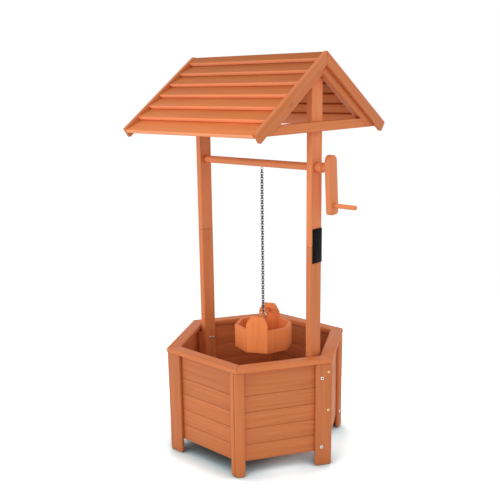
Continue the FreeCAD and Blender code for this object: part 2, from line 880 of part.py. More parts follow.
handle = doc.addObject("Part::Cylinder", "bucket_handle")
handle.Label = "bucket_handle"
handle_half = stave_inner + cell("handle_socket") - cell("end_clearance")
bind(handle, "Radius", handle_r)
bind(handle, "Height", handle_half * 2)
handle_x = chain_x + handle_half * trig("sin", turn)
handle_y = -handle_half * trig("cos", turn)
handle.Placement = FreeCAD.Placement(
    FreeCAD.Vector(handle_x.value, handle_y.value, handle_z.value),
    FreeCAD.Rotation(FreeCAD.Vector(0, 0, 1), turn.value)
    * FreeCAD.Rotation(FreeCAD.Vector(1, 0, 0), -90))
parts.append(handle)

# Ring that hangs on the chain and carries the handle dowel.
ring_wire = cell("ring_wire")
ring_r = cell("ring_radius")
ring_inner = ring_r - ring_wire / 2
ring_z = handle_z - handle_r + ring_inner - cell("ring_seat_gap")
ring = wire_ring("bucket_ring", ring_r, ring_wire, 16, as_size(0.0))
place(ring, x=chain_x, z=ring_z, angle=turn + cell("ring_twist"))
parts.append(ring)

# Chain of closed links, each turned a quarter from the one above. The links
# share the length between the screw eye and the ring.
wire = cell("chain_wire")
play = cell("chain_play")
corner_slack = cell("link_seat_slack")
eye_seat = axle_z - eye_drop - eye_r + eye_wire / 2 + corner_slack
ring_seat = ring_z + ring_inner - corner_slack
link_count = cell("chain_link_count")
link_pitch = (eye_seat - ring_seat) / link_count
half_hole = (link_pitch + play) / 2
chain = new_body("chain", several=True)


def link_outline(centre, half_width, half_length, corner):
    a = half_width
    b = half_length
    c = corner
    points = [(a, c - b), (a, b - c), (a - c, b), (c - a, b),
              (-a, b - c), (-a, c - b), (c - a, -b), (a - c, -b)]
    return [(x, y + centre) for x, y in points]


odd = math.ceil(link_count.value / 2)
for role, rank, number in (("YZ_Plane", 0.5, odd), ("XZ_Plane", 1.5, int(link_count.value) - odd)):
    centre = -link_pitch * rank
    link_sketch = new_sketch(chain, role)
    half_width = cell("chain_link_width") / 2
    draw_outline(link_sketch, link_outline(centre, half_width, half_hole + wire, cell("link_corner")))
    draw_outline(link_sketch, link_outline(centre, half_width - wire, half_hole, cell("link_hole_corner")))
    link = pad(chain, link_sketch, wire, symmetric=True)
    doc.recompute()
    pattern(chain, link, "Z_Axis", link_pitch * 2 * (number - 1), as_size(number), reverse=True)
    doc.recompute()
place(chain, x=chain_x, z=eye_seat, angle=turn)
parts.append(chain)

# Fixings that show: bolt heads, screw heads and the plate screws.


def heads(label, spots, radius, height):
    """Round heads, each given by its spot and the way it faces."""
    shapes = []
    for position, facing in spots:
        item = doc.addObject("Part::Prism", label + "_head")
        item.Polygon = HEAD_SIDES
        bind(item, "Circumradius", radius)
        bind(item, "Height", height)
        base = FreeCAD.Vector(*[as_size(p).value for p in position])
        item.Placement = FreeCAD.Placement(
            base, FreeCAD.Rotation(FreeCAD.Vector(0, 0, 1), FreeCAD.Vector(*facing)))
        shapes.append(item)
    group = doc.addObject("Part::Compound", label)
    group.Label = label
    group.Links = shapes
    parts.append(group)


def on_wall(turn_angle, along, out, up):
    c = math.cos(math.radians(turn_angle))
    s = math.sin(math.radians(turn_angle))
    along = as_size(along).value
    out = as_size(out).value
    return (along * c + out * s, along * s - out * c, as_size(up).value)


def wall_facing(turn_angle):
    return (math.sin(math.radians(turn_angle)), -math.cos(math.radians(turn_angle)), 0.0)


corner_s = apothem / ROOT_3
bolts = []
screws = []
for turned_by in (60, 240):
    face = wall_facing(turned_by)
    for up in (rim_z - cell("bolt_below_rim"), underside + cell("bolt_above_edge")):
        bolts.append((on_wall(turned_by, corner_s - cell("bolt_from_corner"), apothem, up), face))
    upper = rim_z - cell("screw_below_rim")
    for up in (upper, upper - cell("screw_spacing")):
        screws.append((on_wall(turned_by, corner_s - cell("screw_from_corner"), apothem, up), face))
for turned_by in (120, 300):
    up = underside + cell("leg_bolt_above_edge")
    along = corner_s - cell("leg_bolt_from_corner")
    bolts.append((on_wall(turned_by, along, apothem, up), wall_facing(turned_by)))
for side in (1, -1):
    inner_x = (post_x - post_t) * side
    up = rim_z - cell("post_bolt_below_rim")
    bolts.append(((inner_x, cell("post_bolt_inset") * side, up), (-side, 0, 0)))
    lower = up - cell("post_bolt_step")
    bolts.append(((inner_x, -cell("post_bolt_offset") * side, lower), (-side, 0, 0)))
heads("wall_bolts", bolts, cell("bolt_diameter") / 2, cell("bolt_height"))
heads("wall_screws", screws, cell("screw_diameter") / 2, cell("screw_height"))

plate_face = post_x + cell("plate_thickness")
plate_y = post_half - cell("plate_width") / 2 - cell("plate_screw_inset")
plate_screws = []
for side in (1, -1):
    for step_z in (cell("plate_screw_inner"), cell("plate_screw_outer")):
        for way in (1, -1):
            spot = (plate_face * side, plate_y, joint_z + step_z * way)
            plate_screws.append((spot, (side, 0, 0)))
heads("plate_screws", plate_screws, cell("plate_screw_diameter") / 2, cell("screw_height"))

doc.recompute()

# Every object must have built, and every piece must hold valid solids.
for item in doc.Objects:
    for state in item.State:
        if state in ("Invalid", "Error"):
            raise RuntimeError("failed object " + item.Name)
for piece in parts:
    shape = piece.Shape
    if shape.isNull() or not shape.isValid() or not shape.Solids:
        raise RuntimeError("bad shape " + piece.Label)

os.makedirs("parts", exist_ok=True)
total = 0
for piece in parts:
    piece.Shape.exportStep("parts/%s.step" % piece.Label)
    total += len(piece.Shape.Solids)
    print(piece.Label, len(piece.Shape.Solids), round(piece.Shape.Volume / 1000.0, 2))
print("nodes", len(parts), "solids", total, "link pitch", round(link_pitch.value, 3))
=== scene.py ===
import json
import math
import random

import bmesh
import bpy
from bpy.props import FloatProperty, FloatVectorProperty, IntProperty, PointerProperty
from mathutils import Matrix, Vector


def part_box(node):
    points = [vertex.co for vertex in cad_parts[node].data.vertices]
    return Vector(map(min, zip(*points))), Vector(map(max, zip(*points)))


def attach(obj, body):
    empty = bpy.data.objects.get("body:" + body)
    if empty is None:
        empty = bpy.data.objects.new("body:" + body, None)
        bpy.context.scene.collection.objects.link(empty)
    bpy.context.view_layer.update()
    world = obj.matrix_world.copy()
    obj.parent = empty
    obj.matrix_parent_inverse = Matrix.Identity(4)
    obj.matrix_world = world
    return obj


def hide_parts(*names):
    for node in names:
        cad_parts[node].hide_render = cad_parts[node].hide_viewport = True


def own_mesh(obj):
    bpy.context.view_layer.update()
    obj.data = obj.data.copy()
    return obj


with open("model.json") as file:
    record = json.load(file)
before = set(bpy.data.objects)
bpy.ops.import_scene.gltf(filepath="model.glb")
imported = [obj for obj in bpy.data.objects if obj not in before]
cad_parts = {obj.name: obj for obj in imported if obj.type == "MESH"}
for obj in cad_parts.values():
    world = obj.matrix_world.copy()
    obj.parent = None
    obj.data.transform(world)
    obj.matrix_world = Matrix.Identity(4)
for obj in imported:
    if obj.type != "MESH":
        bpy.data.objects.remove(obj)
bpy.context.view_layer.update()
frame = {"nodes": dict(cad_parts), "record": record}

bl_info = {
    "name": "Wishing Well Planter",
    "version": (1, 0, 0),
    "blender": (4, 5, 0),
    "location": "View3D > Sidebar > Wishing Well",
    "description": "Dresses the wishing well planter: stained timber, zinc chain, steel fixings",
    "category": "Object",
}

RECORD = frame["record"]
RIGHT = Vector((1, 0, 0))
UP = Vector((0, 0, 1))


def hex_linear(text):
    """sRGB hex to the linear colour that a shader socket takes."""
    out = []
    for place in (0, 2, 4):
        value = int(text[place:place + 2], 16) / 255
        out.append(value / 12.92 if value <= 0.04045 else ((value + 0.055) / 1.055) ** 2.4)
    return (*out, 1.0)


def node_body(node):
    """Name of the body that a CAD node rides on."""
    for body, nodes in RECORD["behaviour"]["bodies"].items():
        if node in nodes:
            return body
    raise RuntimeError("no body holds " + node)


def joint_named(name):
    for joint in RECORD["behaviour"]["joints"]:
        if joint["name"] == name:
            return joint
    raise RuntimeError("the record has no joint " + name)


def handle_axis():
    """Direction of the dowel that the bucket tips about."""
    return Vector(joint_named("bucket_tilt")["axis"]).normalized()


def box_middle(node):
    low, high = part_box(node)
    return (Vector(low) + Vector(high)) / 2


# Sizes and colours that a user would change.

def colour_setting(name, description, text):
    return FloatVectorProperty(name=name, description=description, subtype="COLOR", size=4,
                               default=hex_linear(text), min=0, max=1)


def metres(name, description, default):
    return FloatProperty(name=name, description=description, unit="LENGTH", default=default)


class TimberSettings(bpy.types.PropertyGroup):
    """Stained softwood of the base, posts, roof, windlass and bucket."""
    stain: colour_setting("Stain", "Colour of the stained spring wood", "DC8049")
    late_wood: colour_setting("Late wood", "Darker colour of the growth rings", "C56B35")
    knot: colour_setting("Knots", "Colour of the small knots", "8A4220")
    # the pale colour, mixed in all over on some pieces and as a painted highlight on the lower
    # edges of the roof boards
    worn_edge: colour_setting(
        "Pale tint and lip highlight", "Paler colour of the lower edges of the roof boards", "FFAA7C")
    ring_spacing: metres("Ring spacing", "Mean distance between growth rings", 0.0075)
    edge_radius: metres("Edge radius", "Eased arris of each planed board", 0.0013)
    foot_radius: metres("Foot radius", "Rounded lower corners of the legs", 0.007)


class ChainSettings(bpy.types.PropertyGroup):
    """Zinc plated chain between the screw eye and the bucket's ring."""
    link_count: IntProperty(name="Links", description="Number of closed links", default=57, min=2)
    wire: metres("Wire", "Diameter of the chain wire", 0.0030)
    seat_wire: metres("Seat wire", "Wire that the seats in eye and ring are spaced for", 0.0019)
    link_width: metres("Link width", "Outer width of one link", 0.0104)
    play: metres("Play", "Slack between two links", 0.0003)
    ring_twist: FloatProperty(
        name="Ring twist", description="Turn of the bucket's ring from square to its dowel",
        unit="ROTATION", default=math.radians(-12))


class StudioSettings(bpy.types.PropertyGroup):
    """Lamps and floor around the object."""
    key_level: FloatProperty(
        name="Key lamp", description="Strength of the soft key lamp", default=0.95)
    fill_level: FloatProperty(
        name="Fill lamp", description="Strength of the fill lamp", default=0.45)
    sky_level: FloatProperty(
        name="Sky", description="Level of the even light from all round", default=0.8)


# Node helpers

def add_node(tree, kind, links=(), stops=(), **settings):
    """Add one node, set its values and colour stops, and link its inputs. A node as the
    source of a link stands for its first output."""
    node = tree.nodes.new(kind)
    for key, value in settings.items():
        if key.startswith("in_"):
            slot = key[3:].replace("_", " ")
            node.inputs[int(slot) if slot.isdigit() else slot].default_value = value
        else:
            setattr(node, key, value)
    for index, (position, colour) in enumerate(stops):
        elements = node.color_ramp.elements
        element = elements[index] if index < len(elements) else elements.new(position)
        element.position = position
        element.color = colour
    for source, target in links:
        socket = source.outputs[0] if isinstance(source, bpy.types.Node) else source
        tree.links.new(socket, node.inputs[target])
    return node


def new_material(name):
    material = bpy.data.materials.new(name)
    material.use_nodes = True
    tree = material.node_tree
    tree.nodes.clear()
    return material, tree


def seen_directly(tree):
    """1 for the rays that show the background: to the camera, by a mirror or through glass."""
    path = add_node(tree, "ShaderNodeLightPath")
    mirrored = add_node(tree, "ShaderNodeMath", operation="MAXIMUM", links=[
        (path.outputs["Is Camera Ray"], 0), (path.outputs["Is Glossy Ray"], 1)])
    return add_node(tree, "ShaderNodeMath", operation="MAXIMUM",
                    links=[(mirrored, 0), (path.outputs["Is Transmission Ray"], 1)])


# Materials

# values that each vertex of a board holds: lighter or darker (partly painted light and shade),
# strength of the grain, paler (a painted highlight on the lips of the roof boards), sheen, and
# painted shade in the joints
BOARD_VALUES = ("tone", "figure", "pale", "gloss", "joint_shade")


def stained_fir():
    """Planed fir under a red brown stain: long soft grain lines, faint wandering
    rings, a rare small knot, and a satin skin that takes wide soft highlights."""
    wood = bpy.context.scene.well_timber
    heart_depth, wander_reach = 0.055, 0.07
    ring_share, fibre_share, streak_share, joint_shade_depth = 0.12, 0.18, 0.75, 0.22
    material, tree = new_material("stained_planed_fir")
    grain, tone, figure, pale, gloss, joint_shade = (
        add_node(tree, "ShaderNodeAttribute", attribute_name=name)
        for name in ("grain",) + BOARD_VALUES)
    at = grain.outputs["Vector"]
    # the rings wander from side to side over a third of a metre, the fibres are 0.9 mm
    # across and some 60 mm long, and the streaks of stain 8 mm across and 200 mm long
    noises = []
    for per_metre, detail, roughness in (
            ((3.2, 15.0, 15.0), 2.0, 0.45), ((16.0, 1100.0, 1100.0), 3.0, 0.6),
            ((5.0, 125.0, 125.0), 3.0, 0.55)):
        spread = add_node(tree, "ShaderNodeMapping", links=[(at, 0)], in_Scale=per_metre)
        noises.append(add_node(tree, "ShaderNodeTexNoise", links=[(spread, "Vector")],
                               in_Scale=1.0, in_Detail=detail, in_Roughness=roughness))
    wander, fibre, streak = noises
    parts = add_node(tree, "ShaderNodeSeparateXYZ", links=[(at, 0)])
    across = add_node(tree, "ShaderNodeMath", links=[(wander, 0), (parts.outputs[1], 2)],
                      operation="MULTIPLY_ADD", in_1=wander_reach)
    through = add_node(tree, "ShaderNodeMath", links=[(parts.outputs[2], 0)],
                       operation="ADD", in_1=heart_depth)
    flat = add_node(tree, "ShaderNodeCombineXYZ", links=[(across, 0), (through, 1)])
    radius = add_node(tree, "ShaderNodeVectorMath", links=[(flat, 0)], operation="LENGTH")
    # years of slow and quick growth bunch the rings
    years = add_node(tree, "ShaderNodeMath", links=[(radius.outputs["Value"], 0)],
                     operation="MULTIPLY", in_1=1.0 / wood.ring_spacing)
    uneven = add_node(tree, "ShaderNodeTexNoise", noise_dimensions="1D",
                      links=[(years, "W")], in_Scale=0.31, in_Detail=1.0)
    turns = add_node(tree, "ShaderNodeMath", links=[(uneven, 0), (years, 2)],
                     operation="MULTIPLY_ADD", in_1=2.4)
    ring = add_node(tree, "ShaderNodeMath", links=[(turns, 0)], operation="FRACT")
    ring_line = add_node(tree, "ShaderNodeValToRGB", links=[(ring, 0)], stops=(
        (0.0, (0.12, 0.12, 0.12, 1)), (0.5, (0.3, 0.3, 0.3, 1)),
        (0.86, (0.9, 0.9, 0.9, 1)), (1.0, (0.12, 0.12, 0.12, 1))))
    # patches a hand wide where the stain sank in more
    blotch = add_node(tree, "ShaderNodeTexNoise", links=[(at, "Vector")], in_Scale=9.0)
    ring_part, fibre_part = (
        add_node(tree, "ShaderNodeMath", links=[(figure.outputs["Fac"], 0)],
                 operation="MULTIPLY", in_1=share) for share in (ring_share, fibre_share))
    ring_mix = add_node(tree, "ShaderNodeMath", operation="MULTIPLY",
                        links=[(ring_line, 0), (ring_part, 1)])
    fibre_mix = add_node(tree, "ShaderNodeMath", operation="MULTIPLY_ADD",
                         links=[(fibre, 0), (fibre_part, 1), (ring_mix, 2)])
    dark = add_node(tree, "ShaderNodeMath", links=[(streak, 0), (fibre_mix, 2)],
                    operation="MULTIPLY_ADD", in_1=streak_share)
    dark_at = add_node(tree, "ShaderNodeMapRange", links=[(dark, 0)],
                       in_1=0.38, in_2=0.82, in_4=0.9)
    base = add_node(tree, "ShaderNodeMix", data_type="RGBA", links=[(dark_at, 0)],
                    in_6=wood.stain, in_7=wood.late_wood)
    # knots 4 to 8 mm, only in a few cells of a coarse grid, stretched along the board
    cells = add_node(tree, "ShaderNodeMapping", links=[(at, 0)], in_Scale=(8.0, 22.0, 22.0))
    knots = add_node(tree, "ShaderNodeTexVoronoi", links=[(cells, "Vector")], in_Scale=1.0)
    rare = add_node(tree, "ShaderNodeSeparateColor", links=[(knots.outputs["Color"], 0)])
    few = add_node(tree, "ShaderNodeMath", links=[(rare, 0)], operation="GREATER_THAN", in_1=0.90)
    near = add_node(tree, "ShaderNodeMapRange", interpolation_type="SMOOTHSTEP",
                    links=[(knots.outputs["Distance"], 0)],
                    in_1=0.02, in_2=0.12, in_3=0.5, in_4=0.0)
    knot_at = add_node(tree, "ShaderNodeMath", links=[(near, 0), (few, 1)], operation="MULTIPLY")
    with_knots = add_node(tree, "ShaderNodeMix", data_type="RGBA", in_7=wood.knot,
                          links=[(knot_at, 0), (base.outputs[2], 6)])
    # towards the pale colour: on the lips of the roof boards this is a painted highlight
    worn = add_node(tree, "ShaderNodeMix", data_type="RGBA", in_7=wood.worn_edge,
                    links=[(pale.outputs["Fac"], 0), (with_knots.outputs[2], 6)])
    # each board takes the stain a little differently; the tone also carries painted light and shade
    level = add_node(tree, "ShaderNodeMath", links=[(tone.outputs["Fac"], 0)],
                     operation="MULTIPLY_ADD", in_1=0.10, in_2=0.94)
    patch = add_node(tree, "ShaderNodeMath", links=[(blotch, 0), (level, 2)],
                     operation="MULTIPLY_ADD", in_1=0.12)
    # painted shade in the joints, darker where the next board is within 4 mm
    joint = add_node(tree, "ShaderNodeAmbientOcclusion", samples=6, in_Distance=0.004)
    darkest = add_node(tree, "ShaderNodeMath", links=[(joint_shade.outputs["Fac"], 0)],
                       operation="MULTIPLY_ADD", in_1=-joint_shade_depth, in_2=1.0)
    joint_shaded = add_node(tree, "ShaderNodeMapRange", in_1=0.25, in_2=0.85,
                        links=[(joint.outputs["AO"], 0), (darkest, 3)])
    value = add_node(tree, "ShaderNodeMath", operation="MULTIPLY",
                     links=[(patch, 0), (joint_shaded, 1)])
    shade = add_node(tree, "ShaderNodeHueSaturation",
                     links=[(value, "Value"), (worn.outputs[2], "Color")])
    satin = add_node(tree, "ShaderNodeMapRange", links=[(blotch, 0)],
                     in_1=0.3, in_2=0.7, in_3=0.50, in_4=0.62)
    bump = add_node(tree, "ShaderNodeBump", links=[(fibre_mix, "Height")],
                    in_Strength=0.22, in_Distance=0.0006)
    sheen = add_node(tree, "ShaderNodeMath", links=[(gloss.outputs["Fac"], 0)],
                     operation="MULTIPLY", in_1=0.40)
    shader = add_node(tree, "ShaderNodeBsdfPrincipled", links=[
        (shade, "Base Color"), (bump, "Normal"), (satin, "Roughness"),
        (sheen, "Specular IOR Level")])
    add_node(tree, "ShaderNodeOutputMaterial", links=[(shader, 0)])
    return material


def plated(name, dull, bright, grime, cloud_scale, rough_low, rough_high):
    """A plated metal: cloudy between two tints, and dark and matt where it holds dirt and painted
    shade.
    """
    material, tree = new_material(name)
    place = add_node(tree, "ShaderNodeTexCoord")
    cloud = add_node(tree, "ShaderNodeTexNoise", links=[(place.outputs["Object"], "Vector")],
                     in_Scale=cloud_scale, in_Detail=3.0)
    tint = add_node(tree, "ShaderNodeValToRGB", links=[(cloud, 0)],
                    stops=((0.3, hex_linear(dull)), (0.7, hex_linear(bright))))
    dirt_shade_part = add_node(tree, "ShaderNodeAttribute", attribute_name="grime")
    painted_link_shade = add_node(tree, "ShaderNodeAttribute", attribute_name="painted_link_shade")
    darkening_share = add_node(tree, "ShaderNodeMath", operation="MAXIMUM",
                    links=[(dirt_shade_part.outputs["Fac"], 0), (painted_link_shade.outputs["Fac"], 1)])
    darkened_colour = add_node(tree, "ShaderNodeMix", data_type="RGBA", in_7=hex_linear(grime),
                     links=[(darkening_share, 0), (tint, 6)])
    skin = add_node(tree, "ShaderNodeMapRange", links=[(cloud, 0)],
                    in_1=0.3, in_2=0.7, in_3=rough_high, in_4=rough_low)
    rough = add_node(tree, "ShaderNodeMapRange", links=[(darkening_share, 0), (skin, 3)], in_4=0.8)
    metal = add_node(tree, "ShaderNodeMapRange", links=[(darkening_share, 0)],
                     in_1=0.2, in_2=0.9, in_3=1.0, in_4=0.0)
    shader = add_node(tree, "ShaderNodeBsdfPrincipled", links=[
        (darkened_colour.outputs[2], "Base Color"), (rough, "Roughness"), (metal, "Metallic")])
    add_node(tree, "ShaderNodeOutputMaterial", links=[(shader, 0)])
    return material


def zinc_plated_steel():
    """Bright zinc plate on steel: a light cool grey, cloudy over 2 mm, black where links meet (dirt
    and painted shade) and on every second link (painted shade).
    """
    return plated("zinc_plated_steel", "C4C7CA", "F4F5F6", "08090A", 500.0, 0.20, 0.38)


def yellow_zinc_steel():
    """Zinc plate under a yellow chromate, on the bucket's ring."""
    return plated("yellow_zinc_plated_steel", "D8BC8A", "FFF0D4", "08090A", 500.0, 0.16, 0.30)


def bright_brass():
    """Turned yellow brass screws, lightly polished, dark in the recess."""
    return plated("bright_brass", "E0B860", "FFEBAE", "3A2810", 700.0, 0.20, 0.32)


def black_painted_steel():
    """Flat steel strip in satin black powder coat with a fine orange peel."""
    material, tree = new_material("black_powder_coat")
    place = add_node(tree, "ShaderNodeTexCoord")
    peel = add_node(tree, "ShaderNodeTexNoise", links=[(place.outputs["Object"], "Vector")],
                    in_Scale=900.0)
    tint = add_node(tree, "ShaderNodeValToRGB", links=[(peel, 0)],
                    stops=((0.2, hex_linear("060709")), (0.8, hex_linear("0E0F13"))))
    bump = add_node(tree, "ShaderNodeBump", links=[(peel, "Height")],
                    in_Strength=0.15, in_Distance=0.0003)
    shader = add_node(tree, "ShaderNodeBsdfPrincipled",
                      links=[(tint, "Base Color"), (bump, "Normal")],
                      in_Roughness=0.45, in_Specular_IOR_Level=0.06)
    add_node(tree, "ShaderNodeOutputMaterial", links=[(shader, 0)])
    return material


MAKERS = {
    "timber": stained_fir, "zinc": zinc_plated_steel, "yellow zinc": yellow_zinc_steel,
    "brass": bright_brass, "black": black_painted_steel,
}
MATERIALS = {}


def material_of(name):
    """The material of that name, made when it is first asked for."""
    if name not in MATERIALS:
        MATERIALS[name] = MAKERS[name]()
    return MATERIALS[name]


# Mesh helpers

def link_object(name, mesh, material):
    item = bpy.data.objects.new(name, mesh)
    bpy.context.scene.collection.objects.link(item)
    mesh.materials.clear()
    mesh.materials.append(material)
    return item


def cad_mesh(node):
    """A CAD node as a mesh to edit, with each flat face whole again."""
    edit = bmesh.new()
    edit.from_mesh(frame["nodes"][node].data)
    bmesh.ops.remove_doubles(edit, verts=edit.verts, dist=0.00001)
    flat_degrees = 0.5
    bmesh.ops.dissolve_limit(edit, angle_limit=math.radians(flat_degrees),
                             verts=edit.verts, edges=edit.edges)
    bmesh.ops.recalc_face_normals(edit, faces=edit.faces)
    return edit


def finished_mesh(edit, name, sharp_degrees):
    """The edited mesh as mesh data, shaded smooth where it bends less than that angle."""
    mesh = bpy.data.meshes.new(name)
    edit.to_mesh(mesh)
    edit.free()
    mesh.polygons.foreach_set("use_smooth", [True] * len(mesh.polygons))
    mesh.set_sharp_from_angle(angle=math.radians(sharp_degrees))
    mesh.update()
    return mesh


def middle_of(group):
    return sum((v.co for v in group), Vector()) / len(group)


def loose_parts(mesh_edit):
    """Groups of vertices that hang together, one for each board, alike on each run."""
    left = dict.fromkeys(mesh_edit.verts)
    parts = []
    while left:
        group = [next(iter(left))]
        del left[group[0]]
        for vertex in group:
            for edge in vertex.link_edges:
                other = edge.other_vert(vertex)
                if other in left:
                    del left[other]
                    group.append(other)
        parts.append(group)
    parts.sort(key=lambda group: tuple(round(c, 4) for c in middle_of(group)))
    return parts


def board_axes(group, along=None):
    """Length, width and thickness directions of one board. Of equal edges or faces the
    first is taken."""
    if along is None:
        edges = [edge for vertex in group for edge in vertex.link_edges]
        longest = max(edges, key=lambda edge: round(edge.calc_length(), 6))
        along = (longest.verts[1].co - longest.verts[0].co).normalized()
    faces = [face for vertex in group for face in vertex.link_faces]
    flanks = [face for face in faces if abs(face.normal.dot(along)) < 0.5]
    widest = max(flanks, key=lambda face: round(face.calc_area(), 9))
    out = widest.normal - along * widest.normal.dot(along)
    out.normalize()
    return along, out.cross(along), out


def bevel(mesh_edit, edges, radius, segments):
    bmesh.ops.bevel(mesh_edit, geom=edges, offset=radius, segments=segments, profile=0.5,
                    affect="EDGES", clamp_overlap=True, offset_type="OFFSET")


def ease_edges(mesh_edit, radius, segments=2):
    """Round the arrises of planed timber."""
    least_angle = math.radians(24)
    sharp = [edge for edge in mesh_edit.edges
             if len(edge.link_faces) == 2 and edge.calc_face_angle(0) > least_angle]
    bevel(mesh_edit, sharp, radius, segments)


def round_foot(mesh_edit, radius):
    """Round the two lower corners of a leg, seen from its outer face."""
    ground, thinnest, thickest = 0.0005, 0.008, 0.014
    corners = [edge for edge in mesh_edit.edges if all(v.co.z < ground for v in edge.verts)
               and thinnest < edge.calc_length() < thickest]
    if corners:
        bevel(mesh_edit, corners, radius, 5)


def board_height(place):
    """-1 at the lower edge of a lapped roof board and 1 at its upper edge."""
    half_rise = 0.018
    return max(-1.0, min(1.0, place.z / half_rise))


def close_seams(groups, part=0.0016):
    """Narrow the 2 mm chamfers between stacked boards to what planed edges show."""
    nearest, farthest = 0.0015, 0.0025
    for group in groups:
        low = min(v.co.z for v in group)
        high = max(v.co.z for v in group)
        for vertex in group:
            if nearest < high - vertex.co.z < farthest:
                vertex.co.z += part
            elif nearest < vertex.co.z - low < farthest:
                vertex.co.z -= part


def cut_groove(mesh_edit, place, width=0.0040, depth=0.0020):
    """A narrow upright groove in the front face of a leg, that far from its left end.
    Gives back the vertices at its bottom."""
    left = min(v.co.x for v in mesh_edit.verts)
    front = min(v.co.y for v in mesh_edit.verts)
    skin = 0.002
    for shift in (-width / 2, 0.0, width / 2):
        everything = mesh_edit.verts[:] + mesh_edit.edges[:] + mesh_edit.faces[:]
        bmesh.ops.bisect_plane(mesh_edit, geom=everything, dist=1e-6,
                               plane_co=(left + place + shift, 0, 0), plane_no=(1, 0, 0))
    deep = {v for v in mesh_edit.verts
            if abs(v.co.x - left - place) < 1e-5 and v.co.y < front + skin}
    for vertex in deep:
        vertex.co.y += depth
    return deep


# pieces made clearly lighter or darker than their neighbours, in part as painted light and shade
TONES = {
    "wall_front_leg_left": -2.2, "wall_front_boards": -1.0,
    "wall_front_right_leg_right": -1.0, "wall_front_right_boards": -0.4,
    "wall_back_right_boards": -0.8, "wall_back_boards": -2.2,
    "rim_front": 0.6, "rim_front_right": 1.2, "floor_slats": -1.5,
    "post_upper_right": 1.0, "post_lower_right": -0.9, "post_lower_left": -0.8,
    "bargeboard_right_front": 0.3, "bargeboard_left_front": -0.8, "rafter_right_front": 0.5,
    "tie_beam_right": 0.8, "roof_boards_front": -0.3,
    "bucket_ear_front": 0.8, "bucket_staves": -0.3,
}
# random shift of the grain along, across and through a board, and of its tone
GRAIN_SHIFT = (9, 0.03, 0.012)
TONE_SHIFT = 0.35
# tone that the painted highlight adds to a roof board's lip, the palest that it gets by that, and
# the painted shade at the bottom of the groove
LIP_HIGHLIGHT_GAIN, LIP_PALEST, GROOVE_SHADE = 3.5, 1.8, 5.0


def timber_piece(node, along=None, radius=None, level=0.0, figure=1.0, shade_up_each_board=0.0, shade_up_the_roof=0.0,
                 lip_highlight=0.0, pale=0.0, gloss=1.0, joint_shade=1.0, foot=0.0, groove=0.0, seams=False):
    """A CAD board, or a group of boards, with eased edges and its own grain. The level lightens or
    darkens its colour all over, in part as painted light and shade. Painted shade darkens each
    board towards its upper edge, and each board up the roof more than the one below. Pale is how
    far its colour is mixed towards the pale colour all over; the lip highlight is a painted
    highlight on its lower edges, where they face down. The figure is the strength of its grain, the
    gloss that of its sheen, and the joint shade that of the painted shade in its joints. A groove
    is cut down the board that far from its left end, with painted shade at its bottom."""
    wood = bpy.context.scene.well_timber
    edit = cad_mesh(node)
    grain = edit.verts.layers.float_vector.new("grain")
    tone, figured, worn, sheen, darkening = (edit.verts.layers.float.new(name) for name in BOARD_VALUES)
    groups = loose_parts(edit)
    seed = random.Random("timber " + node)
    level += TONES.get(node, 0.0)
    middle_z = box_middle(node).z
    boards = [(board_axes(group, along), middle_of(group)) for group in groups]
    if foot:
        round_foot(edit, foot)
    if seams:
        close_seams(groups)
    ease_edges(edit, wood.edge_radius if radius is None else radius)
    edit.normal_update()
    deep = cut_groove(edit, groove) if groove else ()
    for group in loose_parts(edit):
        middle = middle_of(group)
        (length, width, out), centre = min(boards, key=lambda board: (board[1] - middle).length)
        shift = Vector([seed.uniform(-reach, reach) for reach in GRAIN_SHIFT])
        # painted shade up the roof, each board darker than the one below; the upper boards differ
        # less from each other than the lower ones
        rise = (middle.z - middle_z) / 0.1
        board_tone = level + seed.uniform(-TONE_SHIFT, TONE_SHIFT) - shade_up_the_roof * min(rise, rise * 0.55)
        down = width if width.z < 0 else -width
        for vertex in group:
            place = vertex.co - centre
            vertex[grain] = Vector((place.dot(length), place.dot(width), place.dot(out))) + shift
            # painted shade across each board, darker towards its upper edge
            vertex[tone] = board_tone - shade_up_each_board * board_height(place)
            # the painted highlight goes on the lip, where the vertex faces down the board
            edge = max(0.0, vertex.normal.dot(down)) ** 2
            vertex[worn] = max(pale, lip_highlight * edge)
            if lip_highlight:
                vertex[tone] = min(vertex[tone] + LIP_HIGHLIGHT_GAIN * edge, max(vertex[tone], LIP_PALEST))
            # painted shade at the bottom of the groove
            if vertex in deep:
                vertex[tone] -= GROOVE_SHADE
            vertex[figured] = figure
            vertex[sheen] = gloss
            vertex[darkening] = joint_shade
    mesh = finished_mesh(edit, node + "_timber", 32)
    piece = link_object(node + "_timber", mesh, material_of("timber"))
    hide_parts(node)
    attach(piece, node_body(node))


def metal_piece(name, mesh, finish, body, nodes):
    piece = link_object(name, mesh, material_of(finish))
    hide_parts(*nodes)
    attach(piece, body)
    return piece


def wire_ring(centre, normal, radius, wire, around=48, section=12):
    """A closed ring of round wire, as a mesh to edit."""
    edit = bmesh.new()
    side = UP.cross(normal).normalized()
    rows = []
    for index in range(around):
        angle = 2 * math.pi * index / around
        out = side * math.cos(angle) + UP * math.sin(angle)
        row = []
        for turn in range(section):
            bend = 2 * math.pi * turn / section
            rim = radius + wire / 2 * math.cos(bend)
            row.append(edit.verts.new(centre + out * rim + normal * (wire / 2 * math.sin(bend))))
        rows.append(row)
    for here, after in zip(rows, rows[1:] + rows[:1]):
        for turn in range(section):
            next_turn = (turn + 1) % section
            edit.faces.new((here[turn], after[turn], after[next_turn], here[next_turn]))
    bmesh.ops.recalc_face_normals(edit, faces=edit.faces)
    return edit


# Geometry Nodes helpers

